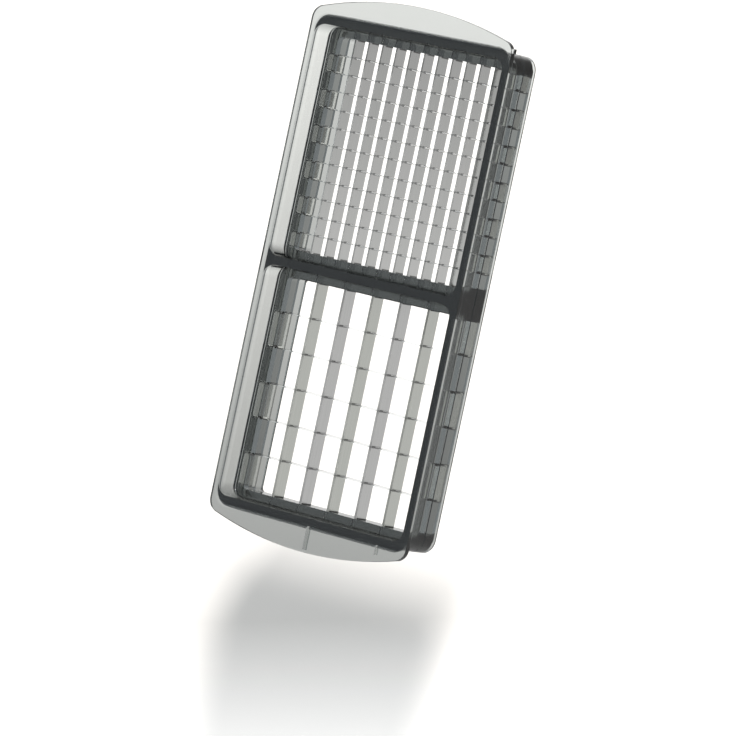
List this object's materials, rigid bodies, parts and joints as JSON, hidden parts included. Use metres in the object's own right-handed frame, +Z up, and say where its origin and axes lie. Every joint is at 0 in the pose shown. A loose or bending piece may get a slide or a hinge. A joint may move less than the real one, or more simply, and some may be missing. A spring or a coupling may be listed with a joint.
{
  "type": "vegetable dicer",
  "caption": "Blade insert of a hand vegetable dicer: clear smoke-grey frame with finger tabs, two wells and two square grids of steel blades, one fine and one coarse.",
  "frame": {"origin": "middle of the underside, half-way along and across the insert", "axes": "+Z up out of the flange towards the incoming food, +Y along the insert from the coarse grid to the fine grid, X across it"},
  "size_m": [0.0859, 0.1816, 0.018],
  "materials": {
    "smoke_plastic": "clear smoke-grey moulded plastic, polished",
    "blade_steel": "satin stainless strip, ground edge"
  },
  "bodies": {
    "root": {"coarse_cross_blade_1": "blade_steel", "coarse_cross_blade_2": "blade_steel", "coarse_cross_blade_3": "blade_steel", "coarse_cross_blade_4": "blade_steel", "coarse_cross_blade_5": "blade_steel", "coarse_cross_end_bends": "blade_steel", "coarse_long_blade_1": "blade_steel", "coarse_long_blade_2": "blade_steel", "coarse_long_blade_3": "blade_steel", "coarse_long_blade_4": "blade_steel", "coarse_long_blade_5": "blade_steel", "coarse_long_end_bends": "blade_steel", "fine_cross_blade_01": "blade_steel", "fine_cross_blade_02": "blade_steel", "fine_cross_blade_03": "blade_steel", "fine_cross_blade_04": "blade_steel", "fine_cross_blade_05": "blade_steel", "fine_cross_blade_06": "blade_steel", "fine_cross_blade_07": "blade_steel", "fine_cross_blade_08": "blade_steel", "fine_cross_blade_09": "blade_steel", "fine_cross_blade_10": "blade_steel", "fine_cross_blade_11": "blade_steel", "fine_cross_end_bends": "blade_steel", "fine_long_blade_01": "blade_steel", "fine_long_blade_02": "blade_steel", "fine_long_blade_03": "blade_steel", "fine_long_blade_04": "blade_steel", "fine_long_blade_05": "blade_steel", "fine_long_blade_06": "blade_steel", "fine_long_blade_07": "blade_steel", "fine_long_blade_08": "blade_steel", "fine_long_blade_09": "blade_steel", "fine_long_blade_10": "blade_steel", "fine_long_blade_11": "blade_steel", "fine_long_end_bends": "blade_steel", "lower_frame": "smoke_plastic", "upper_frame": "smoke_plastic"}
  },
  "joints": []
}
